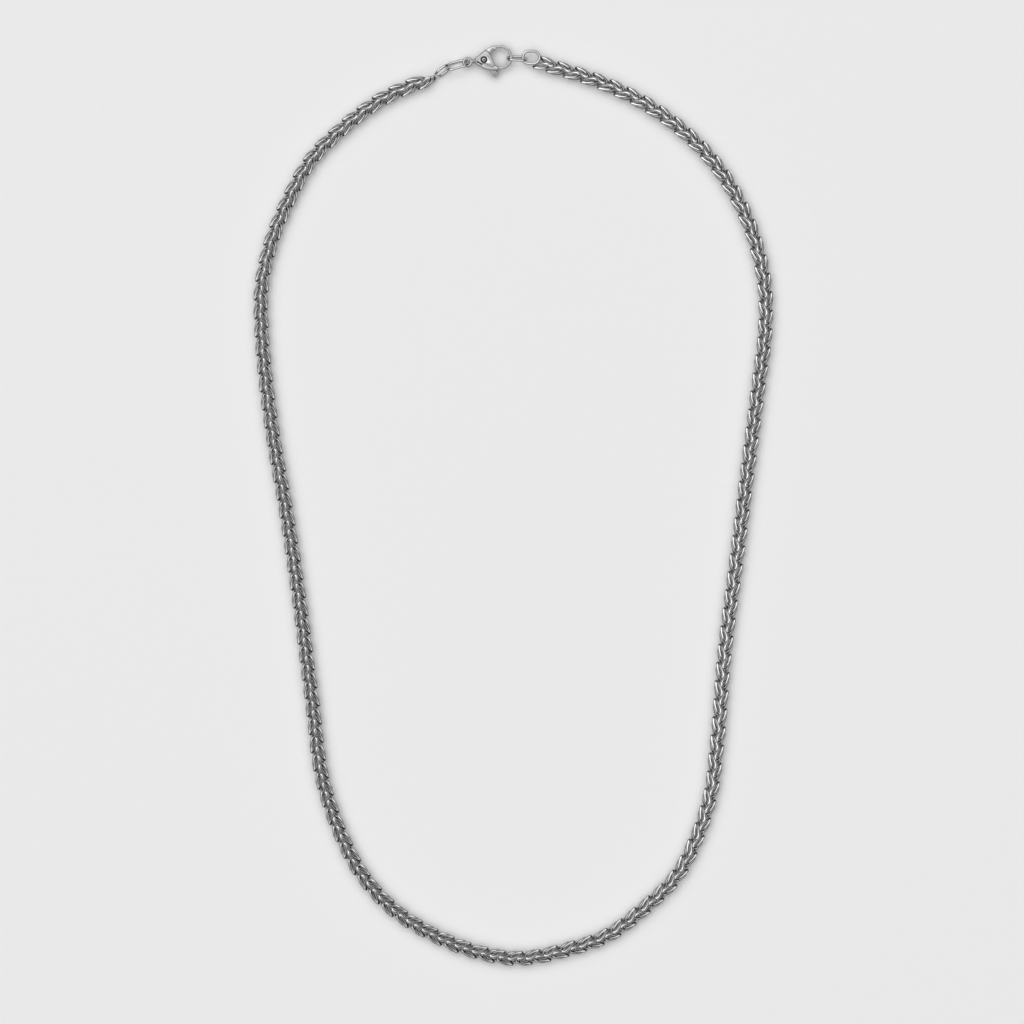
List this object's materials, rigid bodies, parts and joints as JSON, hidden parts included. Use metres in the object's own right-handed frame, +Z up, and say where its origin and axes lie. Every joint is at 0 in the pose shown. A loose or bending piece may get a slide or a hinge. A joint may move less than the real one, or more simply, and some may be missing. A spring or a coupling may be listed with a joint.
{
  "type": "wheat chain necklace",
  "caption": "Closed necklace of interlinked oval wire links, lying in a long loop, joined by a lobster clasp with small jump rings.",
  "frame": {"origin": "on the surface that the necklace lies on, under the middle of its loop", "axes": "+Z up from that surface, +Y along the loop's length towards the clasp, +X across the loop towards the clasp's hook"},
  "size_m": [0.1354, 0.2398, 0.004],
  "materials": {
    "chain_steel": "bright polished stainless steel wire links",
    "ring_steel": "bright polished stainless steel wire",
    "clasp_steel": "polished cast stainless steel",
    "lever_steel": "polished stainless steel, finely brushed in the slot",
    "rivet_steel": "polished stainless steel, punched head"
  },
  "bodies": {
    "necklace": {"chain_top_right": "chain_steel", "chain_right_upper": "chain_steel", "chain_right_lower": "chain_steel", "chain_bottom_right": "chain_steel", "chain_bottom_left": "chain_steel", "chain_left_lower": "chain_steel", "chain_left_upper": "chain_steel", "chain_top_left": "chain_steel", "end_link_right": "chain_steel", "end_link_left": "chain_steel", "hook_ring": "ring_steel", "eye_ring": "ring_steel", "clasp_body": "clasp_steel", "clasp_rivet": "rivet_steel"},
    "lever": {"clasp_lever": "lever_steel"}
  },
  "joints": [
    {"name": "clasp_lever_hinge", "type": "hinge", "parent": "necklace", "child": "lever", "pos_m": [-0.00766, 0.11593, 0.00175], "axis": [0, 0, -1], "range_deg": [0, 28], "stiffness_Nm_per_rad": 0.002, "springref_deg": -17.19}
  ]
}
